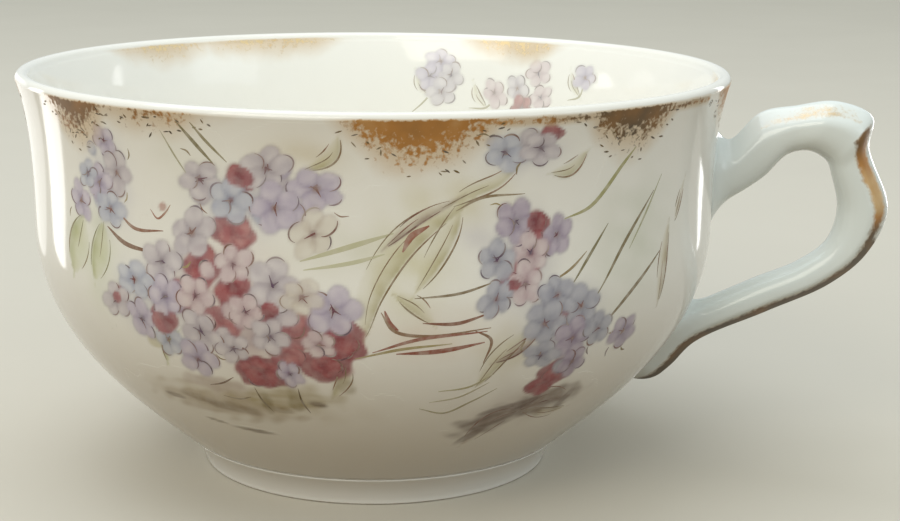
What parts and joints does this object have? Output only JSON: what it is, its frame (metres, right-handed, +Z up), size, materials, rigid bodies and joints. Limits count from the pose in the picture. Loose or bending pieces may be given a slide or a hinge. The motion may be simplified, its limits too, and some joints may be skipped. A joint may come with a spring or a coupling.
{
  "type": "flat cup",
  "caption": "Wide, shallow porcelain tea cup on a low foot ring, with a bevelled loop handle luted to the wall; holds a hot drink.",
  "frame": {"origin": "middle of the cup's outline on the surface that the foot ring stands on", "axes": "+Z up out of the cup's mouth, +X from the bowl towards the handle, +Y to the left of the handle seen from the bowl"},
  "size_m": [0.1166, 0.095, 0.054],
  "materials": {
    "bowl_porcelain": "clear glaze over white porcelain with overglaze flower sprays and sponged gilding",
    "foot_porcelain": "clear glaze over white porcelain, bare on the land",
    "handle_porcelain": "clear glaze over white porcelain with worn gilding on the back",
    "luting_slip": "fired slip under the glaze"
  },
  "bodies": {
    "root": {"bowl": "bowl_porcelain", "foot_ring": "foot_porcelain", "handle": "handle_porcelain", "upper_slip_joint": "luting_slip", "lower_slip_joint": "luting_slip"}
  },
  "joints": []
}
